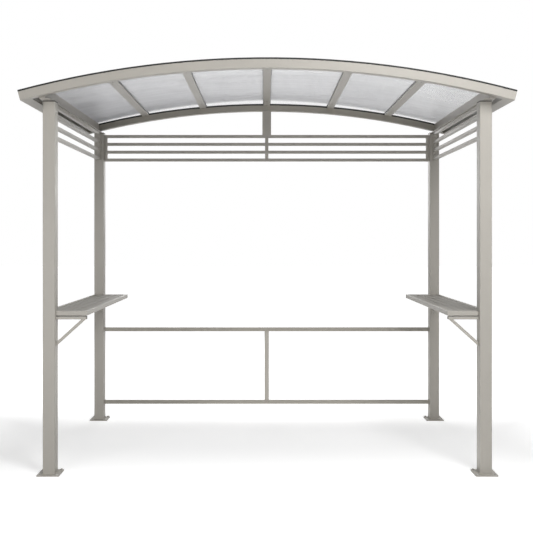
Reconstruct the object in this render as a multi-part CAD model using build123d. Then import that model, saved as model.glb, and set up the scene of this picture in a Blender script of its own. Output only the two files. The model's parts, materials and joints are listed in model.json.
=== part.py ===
from build123d import *
from math import asin, atan2, cos, degrees, sin, sqrt
import os

# Open shelter with an arched sheet roof on four posts, slatted friezes on the
# sides and back, a back rail and a narrow slatted shelf at each end.
# Millimetres. X runs left to right, Y front to back, Z up from the ground.
# The origin is the middle of the footprint, at ground level.

# Posts and feet
post_size = 65.0
post_wall = 2.0
post_corner = 4.0
post_top = 1975.0
posts_outer_width = 2376.0
post_spacing_y = 1281.0
cap_thickness = 5.0
plate_size = 120.0
plate_thickness = 6.0
plate_corner = 6.0
bolt_spacing = 96.0
bolt_hole_radius = 5.5

# Arched roof: the outside arc runs over the full width at the front
roof_half_width = 1291.0
roof_rise = 169.0
roof_top = 2187.0
front_overhang = 100.0
arch_width = 40.0
arch_height = 46.0
arch_wall = 2.0
arch_chamfer = 2.0
end_groove = 32.0
groove_width = 2.0
groove_depth = 1.0
sheet_thickness = 6.0
sheet_gap = 4.0
trim_wall = 1.5
trim_cover = 12.0
trim_lip = 7.0
purlin_width = 45.0
purlin_height = 10.0
purlin_wall = 1.5
purlin_offsets = (440.0, 838.0)
eave_width = 53.0
eave_lip = 3.0
eave_lip_root = 1.0
header_width = 28.0
header_wall = 2.0
header_flange = 52.0
flange_thickness = 3.0

# Slatted friezes
bar_size = 20.0
bar_chamfer = 1.5
bar_count = 4
side_bar_pitch = 57.0
rear_bar_pitch = 54.3
rear_frieze_top = 1967.0
frieze_middle_width = 23.0
king_post_width = 60.0
king_post_over_arch = 2.0

# Back rail
rail_size = 25.0
upper_rail_z = 622.0
lower_rail_z = 120.0
rail_upright_width = 30.0
rail_upright_depth = 20.0
rail_flange_height = 31.0
rail_flange_width = 45.0
rail_flange_thickness = 2.0

# Shelves
shelf_top = 866.0
shelf_width = 230.0
shelf_rail_width = 20.0
shelf_rail_height = 25.0
slat_count = 4
slat_gap = 4.4
slat_thickness = 14.0
bearer_count = 3
bearer_width = 25.0
bearer_height = 8.0
arm_width = 20.0
arm_height = 16.0
arm_setback = 4.0
arm_packer = 4.0
packer_inset = 2.5
brace_size = 16.0
brace_foot_z = 690.0
cleat_width = 35.0
cleat_drop = 120.0
cleat_reach = 60.0
cleat_thickness = 4.0
rib_bottom_margin = 10.0
rib_front_margin = 8.0
rib_root = 2.0

# Places worked out from the sizes above
post_x = posts_outer_width / 2 - post_size / 2
post_inner_x = post_x - post_size / 2
post_outer_x = post_x + post_size / 2
total_depth = front_overhang + post_size / 2 + post_spacing_y + plate_size / 2
front_y = -total_depth / 2
front_post_y = front_y + front_overhang + post_size / 2
rear_post_y = front_post_y + post_spacing_y
back_y = rear_post_y + post_size / 2
front_arch_back = front_y + arch_width
rear_arch_front = back_y - arch_width
header_bottom = post_top + cap_thickness

roof_radius = (roof_half_width ** 2 + roof_rise ** 2) / (2 * roof_rise)
roof_centre_z = roof_top - roof_radius
roof_axis = Axis((0, 0, roof_centre_z), (0, 1, 0))
end_angle = degrees(asin(roof_half_width / roof_radius))
arch_top = roof_radius - sheet_thickness - 2 * trim_wall
arch_bottom = arch_top - arch_height
sheet_bottom = arch_top + trim_wall
sheet_top = sheet_bottom + sheet_thickness

# Sketch plane and its two sides for a section that runs along each axis
sections = {"x": (Plane.YZ, "y", "z"), "y": (Plane.XZ, "x", "z"), "z": (Plane.XY, "x", "y")}

parts = {}


def angle_at(x):
    """Angle of the roof arc above a place across the shelter."""
    return degrees(asin(x / sheet_bottom))


def angle_of(length):
    """Angle that a length along the sheets takes up."""
    return degrees(length / sheet_bottom)


def roof_height(radius, x):
    """Height of a roof arc of this radius above a place across the shelter."""
    return roof_centre_z + sqrt(radius ** 2 - x ** 2)


def arc_band(outline, start, end):
    """Turn an outline of (y, radius) points along the roof from start to end."""
    points = [(0, y, roof_centre_z + r) for y, r in outline]
    face = make_face(Polyline(*points, close=True))
    band = revolve(face, axis=roof_axis, revolution_arc=end - start)
    return band.rotate(roof_axis, start)


def rectangle_outline(y0, y1, r0, r1):
    return [(y0, r0), (y1, r0), (y1, r1), (y0, r1)]


def block(x0, x1, y0, y1, z0, z1):
    """Plain bar between two corners."""
    size = (x1 - x0, y1 - y0, z1 - z0)
    middle = ((x0 + x1) / 2, (y0 + y1) / 2, (z0 + z1) / 2)
    return Pos(*middle) * Box(*size)


def rod(x0, x1, y0, y1, z0, z1, along):
    """Bar between two corners, its edges along one axis eased."""
    size = {"x": x1 - x0, "y": y1 - y0, "z": z1 - z0}
    plane, across, up = sections[along]
    outline = Rectangle(size[across], size[up])
    outline = chamfer(outline.vertices(), bar_chamfer)
    solid = extrude(plane * outline, size[along] / 2, both=True)
    return Pos((x0 + x1) / 2, (y0 + y1) / 2, (z0 + z1) / 2) * solid


def make_post(x, y):
    outline = RectangleRounded(post_size, post_size, post_corner)
    hollow = RectangleRounded(
        post_size - 2 * post_wall, post_size - 2 * post_wall, post_corner - post_wall
    )
    wall = extrude(outline - hollow, post_top - plate_thickness)
    return Pos(x, y, plate_thickness) * wall


def make_base_plate(x, y):
    outline = RectangleRounded(plate_size, plate_size, plate_corner)
    holes = GridLocations(bolt_spacing, bolt_spacing, 2, 2) * Circle(bolt_hole_radius)
    return Pos(x, y, 0) * extrude(outline - holes, plate_thickness)


def make_caps():
    places = [(x, y) for x in (-post_x, post_x) for y in (front_post_y, rear_post_y)]
    cap = extrude(RectangleRounded(post_size, post_size, post_corner), cap_thickness)
    return [Pos(x, y, post_top) * cap for x, y in places]


def make_arch(outer_y, inner_y):
    """Curved box section with a step at its inner top edge for the seal."""
    toward = 1 if inner_y > outer_y else -1
    step_y = inner_y - toward * trim_wall
    outline = [
        (outer_y, arch_bottom + arch_chamfer), (outer_y + toward * arch_chamfer, arch_bottom),
        (inner_y - toward * arch_chamfer, arch_bottom), (inner_y, arch_bottom + arch_chamfer),
        (inner_y, arch_top - trim_lip), (step_y, arch_top - trim_lip),
        (step_y, arch_top), (outer_y, arch_top),
    ]
    hollow_edge = step_y - toward * arch_wall
    hollow = rectangle_outline(
        outer_y + toward * arch_wall, hollow_edge, arch_bottom + arch_wall, arch_top - arch_wall
    )
    closed_end = angle_of(arch_wall)
    arch = arc_band(outline, -end_angle, end_angle)
    arch -= arc_band(hollow, closed_end - end_angle, end_angle - closed_end)
    groove = rectangle_outline(outer_y - toward * groove_depth, outer_y + toward * groove_depth,
                               arch_bottom - groove_depth, arch_top)
    start = end_angle - angle_of(end_groove)
    arch -= arc_band(groove, start, start + angle_of(groove_width))
    return arch - arc_band(groove, -start - angle_of(groove_width), -start)


def make_edge_trim(outer_y, inner_y):
    """Channel over the edge of the sheets, with a lip down the arch's inner face."""
    toward = 1 if inner_y > outer_y else -1
    outline = [
        (outer_y, arch_top),
        (inner_y - toward * trim_wall, arch_top),
        (inner_y - toward * trim_wall, arch_top - trim_lip),
        (inner_y, arch_top - trim_lip),
        (inner_y, sheet_bottom),
        (outer_y + toward * trim_wall, sheet_bottom),
        (outer_y + toward * trim_wall, sheet_top),
        (outer_y + toward * trim_cover, sheet_top),
        (outer_y + toward * trim_cover, roof_radius),
        (outer_y, roof_radius),
    ]
    return arc_band(outline, -end_angle, end_angle)


def roof_tube(start, end, bottom, wall):
    """Box section between the arches, its top curved to carry the sheets."""
    inset = angle_of(wall)
    outline = rectangle_outline(front_arch_back, rear_arch_front, bottom, sheet_bottom)
    hollow = rectangle_outline(front_arch_back, rear_arch_front, bottom + wall, sheet_bottom - wall)
    return arc_band(outline, start, end) - arc_band(hollow, start + inset, end - inset)


def make_purlin(x):
    half = angle_of(purlin_width / 2)
    middle = angle_at(x)
    return roof_tube(middle - half, middle + half, sheet_bottom - purlin_height, purlin_wall)


def make_eave_beam(side):
    """Box section that closes the roof's end, with a lip up past the sheet."""
    beam = roof_tube(end_angle - angle_of(eave_width), end_angle, arch_bottom, arch_wall)
    root = sheet_bottom - eave_lip_root
    lip = rectangle_outline(front_arch_back, rear_arch_front, root, sheet_top)
    beam += arc_band(lip, end_angle - angle_of(eave_lip), end_angle)
    return beam if side > 0 else mirror(beam, Plane.YZ)


def make_header_beam(side):
    """Side beam on the post tops: a sloped box under the sheets on a wider flange."""
    inner_x = post_outer_x - header_width
    outline = [
        (inner_x, header_bottom),
        (post_outer_x, header_bottom),
        (post_outer_x, roof_height(sheet_bottom, post_outer_x)),
        (inner_x, roof_height(sheet_bottom, inner_x)),
    ]
    length = rear_arch_front - front_arch_back
    face = make_face(Polyline(*[(x, front_arch_back, z) for x, z in outline], close=True))
    hollow = extrude(offset(face, -header_wall, kind=Kind.INTERSECTION),
                     length - 2 * header_wall, dir=(0, 1, 0))
    beam = extrude(face, length, dir=(0, 1, 0)) - Pos(0, header_wall, 0) * hollow
    beam += block(post_outer_x - header_flange, post_outer_x, front_arch_back, rear_arch_front,
                  header_bottom, header_bottom + flange_thickness)
    return beam if side > 0 else mirror(beam, Plane.YZ)


def make_sheet(start, end):
    outline = rectangle_outline(front_y + trim_wall, back_y - trim_wall, sheet_bottom, sheet_top)
    return arc_band(outline, start, end)


def make_cover_strips(lines):
    strips = []
    outline = rectangle_outline(
        front_y + trim_cover, back_y - trim_cover, sheet_top, roof_radius
    )
    half = angle_of(purlin_width / 2)
    for x in lines:
        strips.append(arc_band(outline, angle_at(x) - half, angle_at(x) + half))
    return strips


def bar_levels(top, pitch):
    """Lower and upper face of each frieze bar, from the top down."""
    return [(top - bar_size - i * pitch, top - i * pitch) for i in range(bar_count)]


def make_side_frieze(side):
    y0 = front_post_y + post_size / 2
    y1 = rear_post_y - post_size / 2
    x0 = side * post_x - bar_size / 2
    x1 = side * post_x + bar_size / 2
    levels = bar_levels(header_bottom, side_bar_pitch)
    bottom = levels[-1][0]
    panel = rod(x0, x1, y0, y0 + bar_size, bottom, header_bottom, "z")
    panel += rod(x0, x1, y1 - bar_size, y1, bottom, header_bottom, "z")
    for z0, z1 in levels:
        panel += rod(x0, x1, y0, y1, z0, z1, "y")
    return panel


def make_rear_frieze():
    y0 = rear_arch_front
    y1 = rear_arch_front + bar_size
    levels = bar_levels(rear_frieze_top, rear_bar_pitch)
    bottom = levels[-1][0]
    half = frieze_middle_width / 2
    panel = rod(-half, half, y0, y1, bottom, rear_frieze_top, "z")
    for side in (-1, 1):
        inner = side * (post_inner_x - bar_size)
        outer = side * post_inner_x
        panel += rod(min(inner, outer), max(inner, outer), y0, y1, bottom, rear_frieze_top, "z")
    for z0, z1 in levels:
        panel += rod(-post_inner_x, post_inner_x, y0, y1, z0, z1, "x")
    return panel


def make_king_post():
    """Flat upright from the rear frieze to the rear arch, its top cut to the arc."""
    half = king_post_width / 2
    top = roof_centre_z + arch_bottom
    post = rod(-half, half, rear_arch_front, rear_arch_front + bar_size, rear_frieze_top, top, "z")
    over = king_post_over_arch
    above = rectangle_outline(rear_arch_front - over, rear_arch_front + bar_size + over,
                              arch_bottom, arch_top)
    return post - arc_band(above, -angle_of(half + over), angle_of(half + over))


def make_back_rail(z):
    """Square tube across the back, closed by a fixing flange at each post."""
    half = rail_size / 2
    y = rear_post_y
    rail = rod(-post_inner_x, post_inner_x, y - half, y + half, z - half, z + half, "x")
    half -= post_wall
    end = post_inner_x - rail_flange_thickness
    rail -= block(-end, end, y - half, y + half, z - half, z + half)
    wide = rail_flange_width / 2
    tall = rail_flange_height / 2
    for x0, x1 in ((-post_inner_x, -end), (end, post_inner_x)):
        rail += block(x0, x1, y - wide, y + wide, z - tall, z + tall)
    return rail


def make_rail_upright():
    return rod(
        -rail_upright_width / 2, rail_upright_width / 2,
        rear_post_y - rail_upright_depth / 2, rear_post_y + rail_upright_depth / 2,
        lower_rail_z + rail_size / 2, upper_rail_z - rail_size / 2, "z",
    )


def make_shelf_frame():
    """Right shelf's frame: it wraps the inner side of the front post."""
    z0 = shelf_top - shelf_rail_height
    inner_x = post_outer_x - shelf_width
    front = front_post_y - shelf_rail_width / 2
    behind_post = front_post_y + post_size / 2
    back = rear_post_y - post_size / 2
    frame = rod(inner_x, post_inner_x, front, front + shelf_rail_width, z0, shelf_top, "x")
    frame += rod(inner_x, inner_x + shelf_rail_width, front, back, z0, shelf_top, "y")
    outer_rail_x = post_outer_x - shelf_rail_width
    frame += rod(outer_rail_x, post_outer_x, behind_post, back, z0, shelf_top, "y")
    frame += rod(inner_x, post_outer_x, back - shelf_rail_width, back, z0, shelf_top, "x")
    first = behind_post
    last = back - shelf_rail_width - bearer_width
    for i in range(bearer_count):
        y = first + (last - first) * i / (bearer_count - 1)
        frame += block(inner_x, post_outer_x, y, y + bearer_width, z0, z0 + bearer_height)
    return frame


def make_shelf_slats():
    inner_x = post_outer_x - shelf_width + shelf_rail_width
    outer_x = post_outer_x - shelf_rail_width
    width = (outer_x - inner_x - (slat_count + 1) * slat_gap) / slat_count
    z0 = shelf_top - shelf_rail_height + bearer_height
    back = rear_post_y - post_size / 2 - shelf_rail_width
    slats = []
    for i in range(slat_count):
        x0 = inner_x + slat_gap + i * (width + slat_gap)
        front = front_post_y + shelf_rail_width / 2
        if x0 + width > post_inner_x:
            front = front_post_y + post_size / 2
        slats.append(block(x0, x0 + width, front, back, z0, z0 + slat_thickness))
    return slats


def make_shelf_bracket():
    """Arm and packer under the shelf's front rail, with a diagonal brace to the post."""
    y0 = front_post_y - arm_width / 2
    y1 = front_post_y + arm_width / 2
    tip_x = post_outer_x - shelf_width + arm_setback
    rail_bottom = shelf_top - shelf_rail_height
    arm_top = rail_bottom - arm_packer
    bottom = arm_top - arm_height
    arm = rod(tip_x, post_inner_x, y0, y1, bottom, arm_top, "x")
    arm += block(tip_x + packer_inset, post_inner_x, y0 + packer_inset, y1 - packer_inset,
                 arm_top, rail_bottom)
    start = (tip_x + brace_size, bottom)
    foot = (post_inner_x, brace_foot_z)
    slope = atan2(foot[1] - start[1], foot[0] - start[0])
    across = brace_size / 2
    side_x = across * sin(slope)
    side_z = across * cos(slope)
    run = brace_size
    outline = [
        (start[0] - run * cos(slope) - side_x, start[1] - run * sin(slope) + side_z),
        (foot[0] + run * cos(slope) - side_x, foot[1] + run * sin(slope) + side_z),
        (foot[0] + run * cos(slope) + side_x, foot[1] + run * sin(slope) - side_z),
        (start[0] - run * cos(slope) + side_x, start[1] - run * sin(slope) - side_z),
    ]
    front = front_post_y - brace_size / 2
    face = make_face(Polyline(*[(x, front, z) for x, z in outline], close=True))
    brace = extrude(face, brace_size, dir=(0, 1, 0))
    lowest = brace_foot_z - 2 * brace_size
    room = block(tip_x, post_inner_x, front, front + brace_size, lowest, bottom)
    return arm + (brace & room)


def make_shelf_cleat():
    """Angle with a rib, under the shelf's rear end on the front of the rear post."""
    x0 = post_inner_x
    x1 = x0 + cleat_width
    y1 = rear_post_y - post_size / 2
    top = shelf_top - shelf_rail_height
    cleat = block(x0, x1, y1 - cleat_thickness, y1, top - cleat_drop, top)
    cleat += block(x0, x1, y1 - cleat_reach, y1, top - cleat_thickness, top)
    middle = (x0 + x1) / 2
    rib = make_face(Polyline(
        (middle - cleat_thickness / 2, y1 - rib_root, top - cleat_drop + rib_bottom_margin),
        (middle - cleat_thickness / 2, y1 - rib_root, top - rib_root),
        (middle - cleat_thickness / 2, y1 - cleat_reach + rib_front_margin, top - rib_root),
        close=True,
    ))
    return cleat + extrude(rib, cleat_thickness, dir=(1, 0, 0))


def mirrored(shape):
    """Left-hand twin of a piece, or of a list of pieces."""
    if isinstance(shape, list):
        return [mirror(piece, Plane.YZ) for piece in shape]
    return mirror(shape, Plane.YZ)


corners = {
    "front_left": (-post_x, front_post_y),
    "front_right": (post_x, front_post_y),
    "rear_left": (-post_x, rear_post_y),
    "rear_right": (post_x, rear_post_y),
}
for corner, (x, y) in corners.items():
    parts[corner + "_post"] = make_post(x, y)
    parts[corner + "_base_plate"] = make_base_plate(x, y)
parts["post_caps"] = make_caps()

parts["front_arch"] = make_arch(front_y, front_arch_back)
parts["rear_arch"] = make_arch(back_y, rear_arch_front)
parts["front_edge_trim"] = make_edge_trim(front_y, front_arch_back)
parts["rear_edge_trim"] = make_edge_trim(back_y, rear_arch_front)

purlin_names = ("left_outer", "left_inner", "centre", "right_inner", "right_outer")
purlin_lines = (-purlin_offsets[1], -purlin_offsets[0], 0.0, purlin_offsets[0], purlin_offsets[1])
for name, x in zip(purlin_names, purlin_lines):
    parts[name + "_purlin"] = make_purlin(x)

sheet_end = end_angle - angle_of(eave_lip)
starts = [-sheet_end] + [angle_at(x + sheet_gap / 2) for x in purlin_lines]
ends = [angle_at(x - sheet_gap / 2) for x in purlin_lines] + [sheet_end]
for i, (start, end) in enumerate(zip(starts, ends)):
    parts[f"roof_sheet_{i + 1}"] = make_sheet(start, end)
parts["joint_cover_strips"] = make_cover_strips(purlin_lines)

parts["rear_frieze"] = make_rear_frieze()
parts["king_post"] = make_king_post()
parts["upper_back_rail"] = make_back_rail(upper_rail_z)
parts["lower_back_rail"] = make_back_rail(lower_rail_z)
parts["back_rail_upright"] = make_rail_upright()

shelf_pieces = {
    "shelf_frame": make_shelf_frame(),
    "shelf_slats": make_shelf_slats(),
    "shelf_bracket": make_shelf_bracket(),
    "shelf_cleat": make_shelf_cleat(),
}
for side_name, side in (("left", -1), ("right", 1)):
    parts[side_name + "_eave_beam"] = make_eave_beam(side)
    parts[side_name + "_header_beam"] = make_header_beam(side)
    parts[side_name + "_side_frieze"] = make_side_frieze(side)
    for name, shape in shelf_pieces.items():
        parts[side_name + "_" + name] = shape if side > 0 else mirrored(shape)

os.makedirs("parts", exist_ok=True)
for name, shape in parts.items():
    solid = Compound(children=shape) if isinstance(shape, list) else shape
    solid.label = name
    export_step(solid, f"parts/{name}.step")
print(len(parts), "pieces written")
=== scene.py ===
import json
import math
import bpy
import numpy as np
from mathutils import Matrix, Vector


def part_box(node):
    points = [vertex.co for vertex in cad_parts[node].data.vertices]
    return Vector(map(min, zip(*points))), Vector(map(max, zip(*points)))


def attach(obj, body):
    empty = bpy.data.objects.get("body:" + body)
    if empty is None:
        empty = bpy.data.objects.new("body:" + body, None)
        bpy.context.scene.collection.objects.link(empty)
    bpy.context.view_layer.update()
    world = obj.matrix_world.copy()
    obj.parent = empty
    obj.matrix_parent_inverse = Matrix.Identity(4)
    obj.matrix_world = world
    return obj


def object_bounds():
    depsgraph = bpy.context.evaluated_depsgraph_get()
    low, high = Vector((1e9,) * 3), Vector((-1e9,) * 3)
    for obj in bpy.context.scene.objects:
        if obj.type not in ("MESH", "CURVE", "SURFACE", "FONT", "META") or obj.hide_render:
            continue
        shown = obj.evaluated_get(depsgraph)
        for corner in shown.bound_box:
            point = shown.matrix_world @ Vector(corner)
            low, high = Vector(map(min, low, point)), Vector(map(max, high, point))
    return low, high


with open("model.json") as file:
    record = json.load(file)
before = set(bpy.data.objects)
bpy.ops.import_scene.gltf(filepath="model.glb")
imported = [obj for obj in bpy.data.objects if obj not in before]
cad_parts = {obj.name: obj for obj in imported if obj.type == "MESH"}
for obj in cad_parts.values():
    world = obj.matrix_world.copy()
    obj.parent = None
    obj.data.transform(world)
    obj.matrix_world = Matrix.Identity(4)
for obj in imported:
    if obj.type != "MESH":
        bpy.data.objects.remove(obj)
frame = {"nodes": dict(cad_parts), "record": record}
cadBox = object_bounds()
print("frame loaded:", len(frame["nodes"]), "nodes")

# Garden grill shelter: an arched sheet roof on four posts, with friezes, a back rail and two shelves.
# Metres, X to the right, Y to the back, Z up.

pictureWidth = 533

camera = {
    "focalLength": 800.0,           # in pixels of the square picture
    "vanishingPoint": (264.7, 238.0),
    "place": (-0.014, -4.86475, 1.254),
    "sensor": 36.0,
}


def makeCamera():
    data = bpy.data.cameras.new("camera")
    data.sensor_width = camera["sensor"]
    data.lens = camera["focalLength"] / pictureWidth * camera["sensor"]
    data.shift_x = 0.5 - camera["vanishingPoint"][0] / pictureWidth
    data.shift_y = camera["vanishingPoint"][1] / pictureWidth - 0.5
    eye = bpy.data.objects.new("camera", data)
    eye.location = camera["place"]
    eye.rotation_euler = (math.pi / 2, 0, 0)    # level, looking along +Y
    bpy.context.scene.collection.objects.link(eye)
    bpy.context.scene.camera = eye


makeCamera()
bpy.context.scene.view_settings.view_transform = "Standard"
print("camera made")

# Shader helpers

def addNode(tree, kind, place=(0, 0), **values):
    node = tree.nodes.new(kind)
    node.location = place
    for name, value in values.items():
        setattr(node, name, value)
    return node


# Sets a node's inputs by name, with spaces written as underscores
def setInputs(node, **values):
    for name, value in values.items():
        node.inputs[name.replace("_", " ")].default_value = value


def newGroup(name, inputs, outputs):
    tree = bpy.data.node_groups.new(name, "ShaderNodeTree")
    for label, kind, value in inputs:
        socket = tree.interface.new_socket(label, in_out="INPUT", socket_type=kind)
        socket.default_value = value
    for label, kind in outputs:
        tree.interface.new_socket(label, in_out="OUTPUT", socket_type=kind)
    start = addNode(tree, "NodeGroupInput", (-900, 0))
    end = addNode(tree, "NodeGroupOutput", (700, 0))
    return tree, start, end


coatLook = {
    "cloudScale": 5.0,
    "flakeScale": 1400.0,
    "peelScale": 420.0,
    "roughShift": 0.12,             # how much the clouds add to the roughness
    "edgeRadius": 0.0016,
    "edgeFrom": (0.99, 0.86),       # cosine between rounded and true normal where the lighter edge starts and is full
    "patchScale": 38.0,
    "patches": (0.42, 0.62),        # noise where a patch of the lighter edge starts and is full
    "wornAndHighlightColour": (0.62, 0.60, 0.57, 1),
}


# Powder coat: soft clouds and fine flakes in the colour, lighter edges that are part rubbed coat and part
# painted highlight, and a fine orange peel for the bump
def makeCoatGroup():
    look = coatLook
    tree, start, end = newGroup(
        "coatFinish",
        [("Colour", "NodeSocketColor", (0.5, 0.5, 0.5, 1)),
         ("Clouds", "NodeSocketFloat", 0.04),
         ("Flakes", "NodeSocketFloat", 0.06),
         ("Wear", "NodeSocketFloat", 0.2),
         ("Roughness", "NodeSocketFloat", 0.4)],
        [("Colour", "NodeSocketColor"), ("Roughness", "NodeSocketFloat"), ("Height", "NodeSocketFloat")],
    )
    place = addNode(tree, "ShaderNodeTexCoord", (-900, -300))
    clouds = addNode(tree, "ShaderNodeTexNoise", (-600, 200))
    setInputs(clouds, Scale=look["cloudScale"], Detail=3.0)
    flakes = addNode(tree, "ShaderNodeTexNoise", (-600, -50))
    setInputs(flakes, Scale=look["flakeScale"], Detail=1.0)
    peel = addNode(tree, "ShaderNodeTexNoise", (-600, -300))
    setInputs(peel, Scale=look["peelScale"], Detail=2.0, Roughness=0.6)
    for texture in (clouds, flakes, peel):
        tree.links.new(place.outputs["Object"], texture.inputs["Vector"])
    # brightness = 1 + clouds * (noise - 0.5) * 2 + flakes * (noise - 0.5) * 2
    cloudShift = addNode(tree, "ShaderNodeMath", (-400, 200), operation="MULTIPLY_ADD")
    cloudShift.inputs[1].default_value = 2.0
    cloudShift.inputs[2].default_value = -1.0
    flakeShift = addNode(tree, "ShaderNodeMath", (-400, -50), operation="MULTIPLY_ADD")
    flakeShift.inputs[1].default_value = 2.0
    flakeShift.inputs[2].default_value = -1.0
    cloudPart = addNode(tree, "ShaderNodeMath", (-200, 200), operation="MULTIPLY_ADD")
    cloudPart.inputs[2].default_value = 1.0
    flakePart = addNode(tree, "ShaderNodeMath", (0, 100), operation="MULTIPLY_ADD")
    shade = addNode(tree, "ShaderNodeMix", (250, 200), data_type="RGBA", blend_type="MULTIPLY")
    shade.inputs["Factor"].default_value = 1.0
    rough = addNode(tree, "ShaderNodeMath", (250, -100), operation="MULTIPLY_ADD")
    rough.inputs[1].default_value = look["roughShift"]
    tree.links.new(clouds.outputs["Fac"], cloudShift.inputs[0])
    tree.links.new(flakes.outputs["Fac"], flakeShift.inputs[0])
    tree.links.new(cloudShift.outputs[0], cloudPart.inputs[0])
    tree.links.new(start.outputs["Clouds"], cloudPart.inputs[1])
    tree.links.new(flakeShift.outputs[0], flakePart.inputs[0])
    tree.links.new(start.outputs["Flakes"], flakePart.inputs[1])
    tree.links.new(cloudPart.outputs[0], flakePart.inputs[2])
    tree.links.new(start.outputs["Colour"], shade.inputs["A"])
    tree.links.new(flakePart.outputs[0], shade.inputs["B"])
    tree.links.new(clouds.outputs["Fac"], rough.inputs[0])
    tree.links.new(start.outputs["Roughness"], rough.inputs[2])
    # lighter edge, rubbed coat and painted highlight = how far a rounded normal leaves the true one, broken
    # by patches
    rounded = addNode(tree, "ShaderNodeBevel", (-900, -600), samples=4)
    setInputs(rounded, Radius=look["edgeRadius"])
    surface = addNode(tree, "ShaderNodeNewGeometry", (-900, -800))
    meet = addNode(tree, "ShaderNodeVectorMath", (-700, -650), operation="DOT_PRODUCT")
    edge = addNode(tree, "ShaderNodeMapRange", (-500, -650))
    setInputs(edge, From_Min=look["edgeFrom"][0], From_Max=look["edgeFrom"][1])
    patches = addNode(tree, "ShaderNodeTexNoise", (-700, -900))
    setInputs(patches, Scale=look["patchScale"], Detail=4.0, Roughness=0.65)
    broken = addNode(tree, "ShaderNodeMapRange", (-500, -900))
    setInputs(broken, From_Min=look["patches"][0], From_Max=look["patches"][1])
    wearAndHighlightMask = addNode(tree, "ShaderNodeMath", (-300, -700), operation="MULTIPLY")
    wearAndHighlightPart = addNode(tree, "ShaderNodeMath", (-100, -700), operation="MULTIPLY")
    lighter = addNode(tree, "ShaderNodeMix", (450, 200), data_type="RGBA")
    lighter.inputs["B"].default_value = look["wornAndHighlightColour"]
    tree.links.new(rounded.outputs[0], meet.inputs[0])
    tree.links.new(surface.outputs["Normal"], meet.inputs[1])
    tree.links.new(meet.outputs["Value"], edge.inputs["Value"])
    tree.links.new(place.outputs["Object"], patches.inputs["Vector"])
    tree.links.new(patches.outputs["Fac"], broken.inputs["Value"])
    tree.links.new(edge.outputs["Result"], wearAndHighlightMask.inputs[0])
    tree.links.new(broken.outputs["Result"], wearAndHighlightMask.inputs[1])
    tree.links.new(wearAndHighlightMask.outputs[0], wearAndHighlightPart.inputs[0])
    tree.links.new(start.outputs["Wear"], wearAndHighlightPart.inputs[1])
    tree.links.new(wearAndHighlightPart.outputs[0], lighter.inputs["Factor"])
    tree.links.new(shade.outputs["Result"], lighter.inputs["A"])
    tree.links.new(lighter.outputs["Result"], end.inputs["Colour"])
    tree.links.new(rough.outputs[0], end.inputs["Roughness"])
    tree.links.new(peel.outputs["Fac"], end.inputs["Height"])
    return tree


coatGroup = makeCoatGroup()


def startMaterial(name):
    material = bpy.data.materials.new(name)
    material.use_nodes = True
    return material, material.node_tree, material.node_tree.nodes["Principled BSDF"]


def makeCoatMaterial(name, colour, roughness, clouds=0.04, flakes=0.06, bump=0.12, metal=0.0, shine=0.35,
                     wearAndHighlight=0.35):
    material, tree, shader = startMaterial(name)
    coat = addNode(tree, "ShaderNodeGroup", (-500, 200))
    coat.node_tree = coatGroup
    coat.inputs["Colour"].default_value = (*colour, 1)
    setInputs(coat, Clouds=clouds, Flakes=flakes, Roughness=roughness, Wear=wearAndHighlight)
    relief = addNode(tree, "ShaderNodeBump", (-250, -200))
    setInputs(relief, Strength=bump, Distance=0.0004)
    setInputs(shader, Metallic=metal, Specular_IOR_Level=shine)
    tree.links.new(coat.outputs["Colour"], shader.inputs["Base Color"])
    tree.links.new(coat.outputs["Roughness"], shader.inputs["Roughness"])
    tree.links.new(coat.outputs["Height"], relief.inputs["Height"])
    tree.links.new(relief.outputs["Normal"], shader.inputs["Normal"])
    return material


sheetLook = {
    "colour": (0.68, 0.69, 0.74),
    "opacity": 0.49,
    "flutePitch": 0.010,
    "fluteDepth": 0.07,
    "ribPower": 6.0,                # narrow ribs between wide flutes
    "streaks": 0.30,
    "streakTurn": 28.0,             # degrees
    "streakScale": (0.9, 3.2, 1.0),
    "lines": 0.16,                  # thin bands that run with the flutes
    "lineScale": (0.7, 16.0, 1.0),
    "paintedSideLight": -0.12,                  # change of opacity for each metre to the right; clearer to the right, painted light on that side
    "hazeAndShade": 0.35,                   # how much more opaque the sheet is at the back than at the front: painted shade at the back
    "shade": 0.50,                  # how much more it holds back a lamp's straight light than the eye's
    "paintedEdgeLight": 0.85,              # how much of the opacity is lost along the rear edge: painted light along that edge
    "edgeLightFrom": (0.47, 0.55),      # Y where the painted edge light starts and is full, at the middle of the roof
    "edgeLightNarrows": 0.10,           # how much later it starts for each metre away from the middle
}
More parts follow.
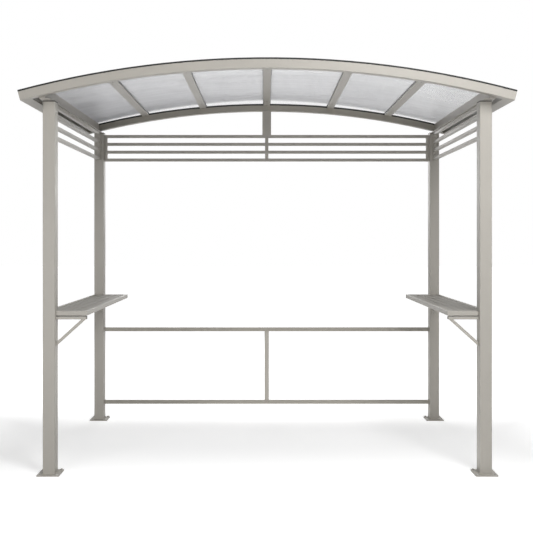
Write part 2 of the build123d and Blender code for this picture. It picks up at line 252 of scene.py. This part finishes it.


# Twin-wall sheet: opacity = base + flutes + streaks + bands + more to the back (painted shade) + less
# to the right (painted light), all less along the rear edge, which paints light along that edge.
# Flutes run round the arch, so their lines come at a fixed step along Y.
def makeSheetGroup():
    look = sheetLook
    tree, start, end = newGroup("sheetFilm", [("Opacity", "NodeSocketFloat", look["opacity"])],
                                [("Opacity", "NodeSocketFloat"), ("Height", "NodeSocketFloat")])
    place = addNode(tree, "ShaderNodeTexCoord", (-1300, 0))
    split = addNode(tree, "ShaderNodeSeparateXYZ", (-1100, 0))
    tree.links.new(place.outputs["Object"], split.inputs[0])
    step = addNode(tree, "ShaderNodeMath", (-900, 0), operation="MULTIPLY")
    step.inputs[1].default_value = 2 * math.pi / look["flutePitch"]
    wave = addNode(tree, "ShaderNodeMath", (-750, 0), operation="COSINE")
    ribs = addNode(tree, "ShaderNodeMath", (-600, 0), operation="POWER")
    ribs.inputs[1].default_value = look["ribPower"]
    tree.links.new(split.outputs["Y"], step.inputs[0])
    tree.links.new(step.outputs[0], wave.inputs[0])
    tree.links.new(wave.outputs[0], ribs.inputs[0])
    slant = addNode(tree, "ShaderNodeMapping", (-1100, -300))
    slant.inputs["Rotation"].default_value = (0, 0, math.radians(look["streakTurn"]))
    slant.inputs["Scale"].default_value = look["streakScale"]
    hazeAndShade = addNode(tree, "ShaderNodeTexNoise", (-900, -300))
    setInputs(hazeAndShade, Scale=1.6, Detail=4.0, Roughness=0.55, Distortion=0.6)
    tree.links.new(place.outputs["Object"], slant.inputs["Vector"])
    tree.links.new(slant.outputs[0], hazeAndShade.inputs["Vector"])
    hazePart = addNode(tree, "ShaderNodeMath", (-600, -300), operation="MULTIPLY_ADD")
    hazePart.inputs[1].default_value = look["streaks"]
    hazePart.inputs[2].default_value = -look["streaks"] / 2
    along = addNode(tree, "ShaderNodeMapping", (-1100, -900))
    along.inputs["Scale"].default_value = look["lineScale"]
    bands = addNode(tree, "ShaderNodeTexNoise", (-900, -900))
    setInputs(bands, Scale=1.0, Detail=2.0)
    tree.links.new(place.outputs["Object"], along.inputs["Vector"])
    tree.links.new(along.outputs[0], bands.inputs["Vector"])
    bandPart = addNode(tree, "ShaderNodeMath", (-600, -900), operation="MULTIPLY_ADD")
    bandPart.inputs[1].default_value = look["lines"]
    bandPart.inputs[2].default_value = -look["lines"] / 2
    both = addNode(tree, "ShaderNodeMath", (-450, -400), operation="ADD")
    tree.links.new(bands.outputs["Fac"], bandPart.inputs[0])
    tree.links.new(bandPart.outputs[0], both.inputs[0])
    tree.links.new(hazePart.outputs[0], both.inputs[1])
    film = addNode(tree, "ShaderNodeMath", (-450, -100), operation="MULTIPLY_ADD")
    film.inputs[1].default_value = look["fluteDepth"]
    total = addNode(tree, "ShaderNodeMath", (-300, 0), operation="ADD")
    tree.links.new(hazeAndShade.outputs["Fac"], hazePart.inputs[0])
    tree.links.new(ribs.outputs[0], film.inputs[0])
    tree.links.new(both.outputs[0], film.inputs[2])
    tree.links.new(film.outputs[0], total.inputs[0])
    tree.links.new(start.outputs["Opacity"], total.inputs[1])
    deeper = addNode(tree, "ShaderNodeMapRange", (-450, 200))
    setInputs(deeper, From_Min=cadBox[0][1], From_Max=cadBox[1][1])
    setInputs(deeper, To_Min=-look["hazeAndShade"] / 2, To_Max=look["hazeAndShade"] / 2)
    milky = addNode(tree, "ShaderNodeMath", (-200, 150), operation="ADD")
    tree.links.new(split.outputs["Y"], deeper.inputs["Value"])
    sideways = addNode(tree, "ShaderNodeMath", (-600, 350), operation="MULTIPLY_ADD")
    sideways.inputs[1].default_value = look["paintedSideLight"]
    tree.links.new(split.outputs["X"], sideways.inputs[0])
    tree.links.new(deeper.outputs["Result"], sideways.inputs[2])
    tree.links.new(sideways.outputs[0], milky.inputs[0])
    tree.links.new(total.outputs[0], milky.inputs[1])
    # the painted edge light starts at Y = from + narrows * |X|
    aside = addNode(tree, "ShaderNodeMath", (-900, -600), operation="ABSOLUTE")
    later = addNode(tree, "ShaderNodeMath", (-750, -600), operation="MULTIPLY_ADD")
    later.inputs[1].default_value = -look["edgeLightNarrows"]
    ramp = addNode(tree, "ShaderNodeMapRange", (-550, -600), interpolation_type="SMOOTHSTEP")
    setInputs(ramp, From_Min=look["edgeLightFrom"][0], From_Max=look["edgeLightFrom"][1])
    setInputs(ramp, To_Min=1.0, To_Max=1.0 - look["paintedEdgeLight"])
    tree.links.new(split.outputs["X"], aside.inputs[0])
    tree.links.new(aside.outputs[0], later.inputs[0])
    tree.links.new(split.outputs["Y"], later.inputs[2])
    tree.links.new(later.outputs[0], ramp.inputs["Value"])
    fade = addNode(tree, "ShaderNodeMath", (-100, 0), operation="MULTIPLY")
    tree.links.new(milky.outputs[0], fade.inputs[0])
    tree.links.new(ramp.outputs["Result"], fade.inputs[1])
    tree.links.new(fade.outputs[0], end.inputs["Opacity"])
    tree.links.new(ribs.outputs[0], end.inputs["Height"])
    return tree


def makeSheetMaterial():
    material, tree, shader = startMaterial("roofSheet")
    film = addNode(tree, "ShaderNodeGroup", (-500, 0))
    film.node_tree = makeSheetGroup()
    setInputs(film, Opacity=sheetLook["opacity"])
    relief = addNode(tree, "ShaderNodeBump", (-250, -200))
    setInputs(relief, Strength=0.25, Distance=0.0003)
    tree.links.new(film.outputs["Height"], relief.inputs["Height"])
    tree.links.new(relief.outputs["Normal"], shader.inputs["Normal"])
    shader.inputs["Base Color"].default_value = (*sheetLook["colour"], 1)
    setInputs(shader, Roughness=0.28)
    rays = addNode(tree, "ShaderNodeLightPath", (-500, 500))
    block = addNode(tree, "ShaderNodeMath", (-250, 300), operation="MULTIPLY_ADD")
    block.inputs[1].default_value = sheetLook["shade"]
    tree.links.new(rays.outputs["Is Shadow Ray"], block.inputs[0])
    tree.links.new(film.outputs["Opacity"], block.inputs[2])
    tree.links.new(block.outputs[0], shader.inputs["Alpha"])
    return material


frameColour = (0.47, 0.446, 0.403)
materials = {
    "frame": makeCoatMaterial("framePaint", frameColour, 0.38),
    "base_plate": makeCoatMaterial("platePaint", frameColour, 0.38),
    # The slats' coat is the frame paint set darker, painted shade from the roof; their strong lighter edges
    # paint highlights.
    "slat": makeCoatMaterial("slatPaintShaded", (0.40, 0.38, 0.345), 0.5, shine=0.2, wearAndHighlight=0.9),
    "cover_strip": makeCoatMaterial("stripPaint", frameColour, 0.38),
    "post_cap": makeCoatMaterial("capPlastic", (0.03, 0.029, 0.027), 0.5, clouds=0.1, flakes=0.1, bump=0.2),
    "seal": makeCoatMaterial("sealRubber", (0.012, 0.012, 0.011), 0.55, clouds=0.1, flakes=0.1, bump=0.3),
    "roof_sheet": makeSheetMaterial(),
}
screwPaint = makeCoatMaterial("screwPaint", (0.40, 0.38, 0.345), 0.34)
boltSteel = makeCoatMaterial("boltSteel", (0.40, 0.39, 0.37), 0.36, clouds=0.08, flakes=0.1, bump=0.1,
                             metal=1.0, shine=0.5)
plugPlastic = makeCoatMaterial("plugPlastic", (0.15, 0.143, 0.13), 0.5, clouds=0.08, flakes=0.08, bump=0.2)

# The rear arch and the back rails read darker in the photo than this lighting makes them, so their
# coat is set darker; it is a match for the picture and not a known second colour
# Painted shade: this darker copy of the frame paint stands in for the roof's shade on the rear arch and
# back rails
shadedBarPaint = makeCoatMaterial("shadedBarPaint", (0.38, 0.357, 0.312), 0.4)
shadedBarNodes = ["rear_arch", "upper_back_rail", "lower_back_rail"]

for part in frame["record"]["subparts"]:
    node = frame["nodes"][part["node"]]
    node.data.materials.clear()
    node.data.materials.append(shadedBarPaint if part["node"] in shadedBarNodes else materials[part["material_slot"]])
print("materials made:", len(materials) + 4)

# Quads of a grid of points whose columns run in a closed ring, and whose rows do too if closed is true
def ringGrid(rows, columns, closed=False):
    row, column = np.meshgrid(np.arange(rows if closed else rows - 1), np.arange(columns), indexing="ij")
    after = (column + 1) % columns
    below = (row + 1) % rows
    quads = np.stack([row * columns + column, row * columns + after,
                      below * columns + after, below * columns + column], axis=-1)
    return quads.reshape(-1, 4)


# First and last ring of such a grid as flat faces
def ringCaps(rows, columns):
    ring = np.arange(columns)
    return np.stack([ring[::-1], (rows - 1) * columns + ring])


def buildPiece(name, points, faces, material, smooth=False):
    mesh = bpy.data.meshes.new(name)
    mesh.from_pydata(points.tolist(), [], [face for block in faces for face in block.tolist()])
    mesh.materials.append(material)
    mesh.update()
    if smooth:
        mesh.shade_smooth()
    piece = bpy.data.objects.new(name, mesh)
    bpy.context.scene.collection.objects.link(piece)
    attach(piece, "root")
    return piece


# Axes of a fastener whose head looks along a direction: across, up and the direction itself as columns
def turnTo(direction):
    direction = np.asarray(direction, float)
    helper = np.array((1.0, 0, 0)) if abs(direction[1]) > 0.9 else np.array((0, 1.0, 0))
    across = np.cross(helper, direction)
    across /= np.linalg.norm(across)
    return np.stack([across, np.cross(direction, across), direction], axis=1)


# One shape at many places: each copy is the shape turned by its matrix and shifted to its place
def copies(points, faces, places, directions):
    turns = np.stack([turnTo(direction) for direction in directions])
    turned = np.einsum("kij,nj->kni", turns, points) + np.asarray(places)[:, None, :]
    shift = np.arange(len(places)) * len(points)
    return turned.reshape(-1, 3), [(block[None] + shift[:, None, None]).reshape(-1, block.shape[1])
                                   for block in faces]


# Head spun about its own axis. A row of the profile is (radius, height, share of hexagon), and its ring
# has radius r at each angle, or r / cos(angle from the nearest flat's middle) for a full hexagon.
def spunHead(rows, columns=24):
    angle = np.arange(columns) * 2 * math.pi / columns
    fromFlat = np.mod(angle, math.pi / 3) - math.pi / 6
    radius, height, hexShare = np.array(rows).T
    ring = radius[:, None] * (1 - hexShare[:, None] + hexShare[:, None] / np.cos(fromFlat)[None, :])
    points = np.stack([ring * np.cos(angle), ring * np.sin(angle),
                       np.broadcast_to(height[:, None], ring.shape)], axis=-1).reshape(-1, 3)
    return points, [ringGrid(len(rows), columns), ringCaps(len(rows), columns)]


# Washer and M8 hexagon head, as on a 10 mm sleeve anchor
anchorBolt = {
    "washerRadius": 0.0080,
    "washerThickness": 0.0016,
    "washerEase": 0.0004,
    "acrossFlats": 0.0130,
    "headHeight": 0.0053,
    "chamfer": 0.0009,
    "shankRadius": 0.0049,
    "shankLength": 0.0058,
}


def makeAnchorBolts():
    b = anchorBolt
    half = b["acrossFlats"] / 2
    top = b["washerThickness"] + b["headHeight"]
    rows = [
        (b["shankRadius"], -b["shankLength"], 0), (b["shankRadius"], 0.0, 0),
        (b["washerRadius"] - b["washerEase"], 0.0, 0), (b["washerRadius"], 0.0005, 0),
        (b["washerRadius"] - b["washerEase"], b["washerThickness"], 0),
        (half, b["washerThickness"], 1), (half, top - b["chamfer"], 1),
        (half - b["chamfer"], top, 0.2), (half * 0.6, top, 0), (half * 0.5, top - 0.0004, 0),
    ]
    places = []
    for mount in frame["record"]["mounts"]:
        if mount["kind"] != "bolt_pattern":
            continue
        x, y, _ = mount["pos_m"]
        dx = mount["dims"]["spacing_x_mm"] / 2000
        dy = mount["dims"]["spacing_y_mm"] / 2000
        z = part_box(mount["name"].replace("_plate_bolts", "_base_plate"))[1].z
        places += [(x + sx * dx, y + sy * dy, z) for sx in (-1, 1) for sy in (-1, 1)]
    points, faces = copies(*spunHead(rows), places, [(0, 0, 1)] * len(places))
    return buildPiece("anchorBolts", points, faces, boltSteel)


panScrew = {"radius": 0.0046, "height": 0.0026, "shank": 0.0021, "sunk": 0.0020, "socket": 0.0015,
            "depth": 0.0015}
lowScrew = {"radius": 0.0042, "height": 0.0013, "shank": 0.0018, "sunk": 0.0015, "socket": 0.0013,
            "depth": 0.0008}


# Small screw: a dome on a short shank with a hexagon socket sunk into it
def screwShape(screw):
    r = screw["radius"]
    h = screw["height"]
    rows = [
        (screw["shank"], -screw["sunk"], 0), (screw["shank"], 0.0, 0), (r, 0.0, 0), (r, h * 0.30, 0),
        (r * 0.88, h * 0.68, 0), (r * 0.66, h * 0.92, 0), (r * 0.45, h, 0), (screw["socket"], h, 1),
        (screw["socket"], h - screw["depth"], 1),
    ]
    return spunHead(rows)


# The roof's circles share one axis along Y, from its width and rise
roof = {
    "halfWidth": 1.291,
    "rise": 0.169,
    "purlins": (-0.838, -0.44, 0.0, 0.44, 0.838),
    "purlinHalf": 0.0225,
    "sheetBelow": 0.0075,           # how far under the outer circle the sheets' underside is
    "sheetTopBelow": 0.0015,        # their top
    "purlinBelow": 0.0175,          # and the purlins' underside
}
roof["radius"] = (roof["halfWidth"] ** 2 + roof["rise"] ** 2) / (2 * roof["rise"])
roof["centreZ"] = cadBox[1][2] - roof["radius"]
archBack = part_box("front_arch")[1].y
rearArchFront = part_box("rear_arch")[0].y


def onRoof(angle, radius, y):
    return (radius * math.sin(angle), y, roof["centreZ"] + radius * math.cos(angle))


def purlinAngles():
    return [math.asin(x / (roof["radius"] - roof["sheetBelow"])) for x in roof["purlins"]]


# How far the screws stand from the ends and edges of what they hold
screwRoom = {
    "purlinEnds": (0.022, 0.170),
    "railFlange": 0.002,
    "railSide": 0.0175,
    "friezeEnd": 0.038,
    "friezeBar": 0.020,
    "cleatPlate": 0.004,
    "cleatEdge": 0.008,
    "cleatUp": (0.016, 0.066),
    "bearerHalf": 0.0125,
    "shelfRail": 0.020,
    "slats": 4,
    "slatGap": 0.0044,
}


# Where each family of screws goes: (place, direction its head looks)
def purlinScrewPlaces():
    near, far = screwRoom["purlinEnds"]
    radius = roof["radius"] - roof["purlinBelow"]
    spots = []
    for angle in purlinAngles():
        down = (-math.sin(angle), 0, -math.cos(angle))
        for y in (archBack + near, archBack + far, rearArchFront - far, rearArchFront - near):
            spots.append((onRoof(angle, radius, y), down))
    return spots


def frameScrewPlaces():
    room = screwRoom
    spots = []
    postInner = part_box("front_right_post")[0].x
    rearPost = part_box("rear_right_post")
    rearY = (rearPost[0].y + rearPost[1].y) / 2
    for rail in ("upper_back_rail", "lower_back_rail"):
        low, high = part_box(rail)
        z = (low.z + high.z) / 2
        spots += [((side * (postInner - room["railFlange"]), rearY + dy, z), (-side, 0, 0))
                  for side in (-1, 1) for dy in (-room["railSide"], room["railSide"])]
    low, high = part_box("right_side_frieze")
    friezeX = (low.x + high.x) / 2
    spots += [((side * friezeX, y, z), (0, look, 0)) for side in (-1, 1)
              for z in (low.z + room["friezeEnd"], high.z - room["friezeEnd"])
              for y, look in ((low.y + room["friezeBar"], 1), (high.y - room["friezeBar"], -1))]
    low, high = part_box("right_shelf_cleat")
    spots += [((side * x, high.y - room["cleatPlate"], low.z + up), (0, -1, 0)) for side in (-1, 1)
              for x in (low.x + room["cleatEdge"], high.x - room["cleatEdge"]) for up in room["cleatUp"]]
    return spots


def slatScrewPlaces():
    room = screwRoom
    low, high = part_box("right_shelf_slats")
    pitch = (high.x - low.x + room["slatGap"]) / room["slats"]
    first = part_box("front_right_post")[1].y + room["bearerHalf"]
    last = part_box("right_shelf_frame")[1].y - room["shelfRail"] - room["bearerHalf"]
    start = low.x - room["slatGap"] / 2
    return [((side * (start + pitch * (i + 0.5)), y, high.z), (0, 0, 1)) for side in (-1, 1)
            for i in range(room["slats"]) for y in (first, (first + last) / 2, last)]


def makeScrews():
    families = {
        "purlinScrews": (panScrew, purlinScrewPlaces(), screwPaint, "frame"),
        "frameScrews": (panScrew, frameScrewPlaces(), screwPaint, "frame"),
        "slatScrews": (lowScrew, slatScrewPlaces(), boltSteel, "slat"),
    }
    for name, (screw, spots, material, slotName) in families.items():
        places, directions = zip(*spots)
        points, faces = copies(*screwShape(screw), places, directions)
        buildPiece(name, points, faces, material)
        print(name, len(spots))


footWeld = {
    "half": 0.0325,
    "corner": 0.004,
    "columns": 420,
    "ripples": 72,
    "rippleDepth": 0.00035,
    "rows": ((-0.0010, 0.0), (0.0046, 0.0), (0.0043, 0.0010), (0.0030, 0.0024), (0.0014, 0.0041),
             (-0.0010, 0.0048)),
}


# Fillet bead round a post's foot. Its path is a square with rounded corners, walked by arc length, and a
# row of the section is (out from the post, up from the plate), swollen by a fine ripple along the path.
def makeFootWelds():
    w = footWeld
    flat = 2 * (w["half"] - w["corner"])
    quarter = flat + math.pi / 2 * w["corner"]
    along = np.arange(w["columns"]) / w["columns"] * 4 * quarter
    side = np.floor(along / quarter)
    here = along - side * quarter
    bend = np.clip(here - flat, 0, None) / w["corner"]
    core = w["half"] - w["corner"]
    x = core + w["corner"] * np.cos(bend)
    y = np.minimum(here, flat) - core + w["corner"] * np.sin(bend)
    turn = side * math.pi / 2
    base = np.stack([x * np.cos(turn) - y * np.sin(turn), x * np.sin(turn) + y * np.cos(turn)], axis=-1)
    out = np.stack([np.cos(bend + turn), np.sin(bend + turn)], axis=-1)
    ripple = w["rippleDepth"] * np.cos(2 * math.pi * w["ripples"] * np.arange(w["columns"]) / w["columns"])
    reach, height = np.array(w["rows"]).T
    free = (reach > 0)[:, None]
    grown = reach[:, None] + free * ripple[None, :]
    flatPart = base[None] + grown[..., None] * out[None]
    rise = height[:, None] + (height > 0)[:, None] * free * ripple[None, :]
    ring = np.concatenate([flatPart, rise[..., None]], axis=-1).reshape(-1, 3)
    places = []
    for corner in ("front_left", "front_right", "rear_left", "rear_right"):
        low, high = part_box(corner + "_post")
        places.append(((low.x + high.x) / 2, (low.y + high.y) / 2, low.z))
    points = (ring[None] + np.array(places)[:, None]).reshape(-1, 3)
    shift = np.arange(len(places)) * len(ring)
    quads = ringGrid(len(w["rows"]), w["columns"], closed=True)
    faces = [(quads[None] + shift[:, None, None]).reshape(-1, 4)]
    return buildPiece("footWelds", points, faces, materials["base_plate"], smooth=True)


plugColumns = 24
plugAngle = (np.arange(plugColumns) + 0.5) / plugColumns * 2 * math.pi
armPlug = {
    "inset": 0.0006,
    "thickness": 0.0022,
    "corner": 0.0022,
    "ease": 0.0009,
    "easeDepth": 0.0007,
    "sunk": 0.0010,
    "armHeight": 0.016,
    "armBelow": 0.004,              # gap between the arm and the shelf frame
}


# Dark end plugs of the shelf arms: a rounded rectangle that narrows over its thickness
def makeArmPlugs():
    p = armPlug
    low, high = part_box("right_shelf_bracket")
    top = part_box("right_shelf_frame")[0].z - p["armBelow"]
    sizeY = high.y - low.y - 2 * p["inset"]
    sizeZ = p["armHeight"] - 2 * p["inset"]
    angle = plugAngle
    r = p["corner"]
    cornerY = np.sign(np.cos(angle)) * (sizeY / 2 - r)
    cornerZ = np.sign(np.sin(angle)) * (sizeZ / 2 - r)
    rows = []
    ease = ((p["sunk"], 0.0), (p["easeDepth"] - p["thickness"], 0.0), (-p["thickness"], p["ease"]))
    for depth, shrink in ease:
        rows.append(np.stack([np.full(plugColumns, depth), cornerY + (r - shrink) * np.cos(angle),
                              cornerZ + (r - shrink) * np.sin(angle)], axis=-1))
    plug = np.concatenate(rows)
    middle = ((low.y + high.y) / 2, top - p["armHeight"] / 2)
    allPoints, allFaces = [], []
    quads, caps = ringGrid(len(rows), plugColumns), ringCaps(len(rows), plugColumns)
    for k, side in enumerate((1, -1)):
        points = plug + np.array((low.x, *middle))
        points[:, 0] *= side
        allPoints.append(points)
        flip = -1 if side > 0 else 1           # the mirrored plug's rings run the other way
        allFaces += [quads[:, ::flip] + k * len(plug), caps[:, ::flip] + k * len(plug)]
    return buildPiece("armPlugs", np.concatenate(allPoints), allFaces, plugPlastic)


packerShadeSleeve = {"proud": 0.0012, "inset": 0.0025, "corner": 0.0020, "levels": (-0.0038, -0.0002)}


# Dark sleeve round the packer between each shelf arm and its frame: painted shade that darkens the
# shadow line in that gap. It is a rounded rectangle seen from above, carried up through the gap
def makePackerShadeSleeves():
    low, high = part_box("right_shelf_bracket")
    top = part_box("right_shelf_frame")[0].z
    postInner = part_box("front_right_post")[0].x
    r = packerShadeSleeve["corner"]
    reach = packerShadeSleeve["inset"] - packerShadeSleeve["proud"]
    halfX = (postInner - low.x - reach) / 2
    halfY = (high.y - low.y) / 2 - reach
    cosine, sine = np.cos(plugAngle), np.sin(plugAngle)
    outline = np.stack([np.sign(cosine) * (halfX - r) + r * cosine,
                        np.sign(sine) * (halfY - r) + r * sine], axis=-1)
    allPoints, allFaces = [], []
    for k, side in enumerate((-1, 1)):
        middle = (side * (low.x + reach + halfX), (low.y + high.y) / 2)
        allPoints += [np.column_stack([outline + middle, np.full(plugColumns, top + z)])
                      for z in packerShadeSleeve["levels"]]
        shift = k * 2 * plugColumns
        allFaces += [ringGrid(2, plugColumns) + shift, ringCaps(2, plugColumns) + shift]
    return buildPiece("packerShadeSleeves", np.concatenate(allPoints), allFaces, materials["seal"])


gasket = {
    "width": 0.0034,
    "height": 0.0011,
    "points": 10,
    "ends": 0.013,                  # how far it stops short of the arches' outer faces
    "foot": 0.9,                    # share of the width at its sunk underside
    "sunk": 0.0004,
}


# Rubber beads along both edges of each cover strip: a half round section carried from front to back
def makeRoofGaskets():
    g = gasket
    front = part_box("front_arch")[0].y + g["ends"]
    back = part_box("rear_arch")[1].y - g["ends"]
    turn = np.linspace(0, math.pi, g["points"])
    across = g["width"] / 2 * np.cos(turn)
    up = g["height"] * np.sin(turn)
    across = np.concatenate([across, across[::-1] * g["foot"]])
    up = np.concatenate([up, np.full(g["points"], -g["sunk"])])
    radius = roof["radius"] - roof["sheetTopBelow"]
    columns = 2 * g["points"]
    points, faces = [], []
    for angle in purlinAngles():
        for edge in (-1, 1):
            bead = angle + edge * (roof["purlinHalf"] + g["width"] / 2) / radius
            x = (radius + up) * np.sin(bead) + across * np.cos(bead)
            z = roof["centreZ"] + (radius + up) * np.cos(bead) - across * np.sin(bead)
            rings = np.stack([np.stack([x, np.full(columns, y), z], axis=-1) for y in (back, front)])
            shift = sum(len(p) for p in points)
            points.append(rings.reshape(-1, 3))
            faces += [ringGrid(2, columns) + shift, ringCaps(2, columns) + shift]
    return buildPiece("roofGaskets", np.concatenate(points), faces, materials["seal"])


makeAnchorBolts()
makeScrews()
makeFootWelds()
makeArmPlugs()
makePackerShadeSleeves()
makeRoofGaskets()
print("fasteners, welds, plugs and gaskets made")

# Painted shade: the glow is weaker round the shelter than farther out, so the floor there reads as in soft
# shadow
floorLook = {
    "size": 60.0,
    "colour": 0.8,
    "glow": 0.49,                   # what the paper adds for the camera beside the lamps' light
    "farGlow": 0.55,                # what it adds more where the lamps fade, round the shelter
    "aside": (1.40, 2.40),          # X from the middle where that starts and is full
    "behind": (0.30, 1.20),         # Y behind the middle
    "before": (0.0, 1.6),           # and Y before it
}


# Which rays see the bright studio paper: the camera's, mirror and see-through rays
def backdropRays(tree):
    seen = addNode(tree, "ShaderNodeLightPath", (-900, -300))
    glossy = addNode(tree, "ShaderNodeMath", (-700, -300), operation="MAXIMUM")
    through = addNode(tree, "ShaderNodeMath", (-550, -300), operation="MAXIMUM")
    tree.links.new(seen.outputs["Is Camera Ray"], glossy.inputs[0])
    tree.links.new(seen.outputs["Is Glossy Ray"], glossy.inputs[1])
    tree.links.new(glossy.outputs[0], through.inputs[0])
    tree.links.new(seen.outputs["Is Transmission Ray"], through.inputs[1])
    return through.outputs[0]


def makeFloor():
    look = floorLook
    half = look["size"] / 2
    mesh = bpy.data.meshes.new("floor")
    corners = [(-half, -half, 0), (half, -half, 0), (half, half, 0), (-half, half, 0)]
    mesh.from_pydata(corners, [], [(0, 1, 2, 3)])
    material, tree, shader = startMaterial("floorPaper")
    output = tree.nodes["Material Output"]
    grey = look["colour"]
    shader.inputs["Base Color"].default_value = (grey, grey, grey, 1)
    setInputs(shader, Roughness=0.9, Specular_IOR_Level=0.0)
    place = addNode(tree, "ShaderNodeTexCoord", (-1300, -600))
    split = addNode(tree, "ShaderNodeSeparateXYZ", (-1100, -600))
    aside = addNode(tree, "ShaderNodeMath", (-900, -600), operation="ABSOLUTE")
    sideRamp = addNode(tree, "ShaderNodeMapRange", (-700, -600), interpolation_type="SMOOTHSTEP")
    setInputs(sideRamp, From_Min=look["aside"][0], From_Max=look["aside"][1])
    backRamp = addNode(tree, "ShaderNodeMapRange", (-700, -900), interpolation_type="SMOOTHSTEP")
    setInputs(backRamp, From_Min=look["behind"][0], From_Max=look["behind"][1])
    most = addNode(tree, "ShaderNodeMath", (-500, -700), operation="MAXIMUM")
    frontRamp = addNode(tree, "ShaderNodeMapRange", (-700, -1200), interpolation_type="SMOOTHSTEP")
    setInputs(frontRamp, From_Min=-look["before"][0], From_Max=-look["before"][1])
    farthest = addNode(tree, "ShaderNodeMath", (-420, -900), operation="MAXIMUM")
    # less glow near the shelter paints shade on the floor round it
    level = addNode(tree, "ShaderNodeMath", (-350, -600), operation="MULTIPLY_ADD")
    level.inputs[1].default_value = look["farGlow"]
    level.inputs[2].default_value = look["glow"]
    strength = addNode(tree, "ShaderNodeMath", (-200, -400), operation="MULTIPLY")
    tree.links.new(place.outputs["Object"], split.inputs[0])
    tree.links.new(split.outputs["X"], aside.inputs[0])
    tree.links.new(aside.outputs[0], sideRamp.inputs["Value"])
    tree.links.new(split.outputs["Y"], backRamp.inputs["Value"])
    tree.links.new(sideRamp.outputs["Result"], most.inputs[0])
    tree.links.new(backRamp.outputs["Result"], most.inputs[1])
    tree.links.new(split.outputs["Y"], frontRamp.inputs["Value"])
    tree.links.new(most.outputs[0], farthest.inputs[0])
    tree.links.new(frontRamp.outputs["Result"], farthest.inputs[1])
    tree.links.new(farthest.outputs[0], level.inputs[0])
    tree.links.new(level.outputs[0], strength.inputs[0])
    tree.links.new(backdropRays(tree), strength.inputs[1])
    glow = addNode(tree, "ShaderNodeEmission", (0, -300))
    add = addNode(tree, "ShaderNodeAddShader", (300, 0))
    tree.links.new(strength.outputs[0], glow.inputs["Strength"])
    tree.links.new(shader.outputs[0], add.inputs[0])
    tree.links.new(glow.outputs[0], add.inputs[1])
    tree.links.new(add.outputs[0], output.inputs["Surface"])
    mesh.materials.append(material)
    floor = bpy.data.objects.new("floor", mesh)
    bpy.context.scene.collection.objects.link(floor)


worldLook = {"ambient": 0.04}


def makeWorld():
    world = bpy.data.worlds.new("studio")
    bpy.context.scene.world = world
    world.use_nodes = True
    tree = world.node_tree
    background = tree.nodes["Background"]
    background.inputs["Color"].default_value = (1, 1, 1, 1)
    level = addNode(tree, "ShaderNodeMapRange", (-200, 0))
    setInputs(level, To_Min=worldLook["ambient"], To_Max=1.0)
    tree.links.new(backdropRays(tree), level.inputs["Value"])
    tree.links.new(level.outputs["Result"], background.inputs["Strength"])


lamps = {
    "keyTop": {"place": (1.4, -3.4, 3.5), "aim": (0.2, 0.1, 0.8), "size": 1.7, "watts": 93.0},
    "keyRight": {"place": (1.8, -3.4, 1.3), "aim": (0.8, 0.0, 1.1), "size": 1.2, "watts": 13.5},
    "fillLeft": {"place": (-2.2, -3.5, 1.0), "aim": (-0.6, 0.0, 0.9), "size": 1.7, "watts": 32.0},
    "sideRight": {"place": (2.6, 0.6, 1.6), "aim": (0.3, 0.6, 1.5), "size": 1.5, "watts": 3.0},
    "floorBounce": {"place": (0.3, -0.1, 0.03), "aim": (0.3, -0.1, 2.1), "size": 1.6, "watts": 3.9},
    "fasciaKey": {"place": (0.80, -1.75, 2.35), "aim": (0.70, -0.7, 2.12), "size": 0.5, "watts": 0.9},
    "backLight": {"place": (-0.4, 4.4, 2.6), "aim": (0.0, 0.4, 0.9), "size": 2.4, "watts": 48.0},
}
overhead = {"angle": 35.0, "tilt": 8.0, "strength": 0.06}


def makeLamps():
    for name, lamp in lamps.items():
        data = bpy.data.lights.new(name, "AREA")
        data.shape = "SQUARE"
        data.size = lamp["size"]
        data.energy = lamp["watts"]
        light = bpy.data.objects.new(name, data)
        light.location = lamp["place"]
        aim = np.array(lamp["aim"]) - np.array(lamp["place"])
        flat = math.hypot(aim[0], aim[1])
        light.rotation_euler = (math.atan2(flat, -aim[2]), 0, math.atan2(-aim[0], aim[1]))
        light.visible_camera = False
        bpy.context.scene.collection.objects.link(light)
    data = bpy.data.lights.new("overhead", "SUN")
    data.angle = math.radians(overhead["angle"])
    data.energy = overhead["strength"]
    light = bpy.data.objects.new("overhead", data)
    light.rotation_euler = (math.radians(overhead["tilt"]), 0, 0)
    bpy.context.scene.collection.objects.link(light)


makeFloor()
makeWorld()
makeLamps()
print("floor, world and lamps made")
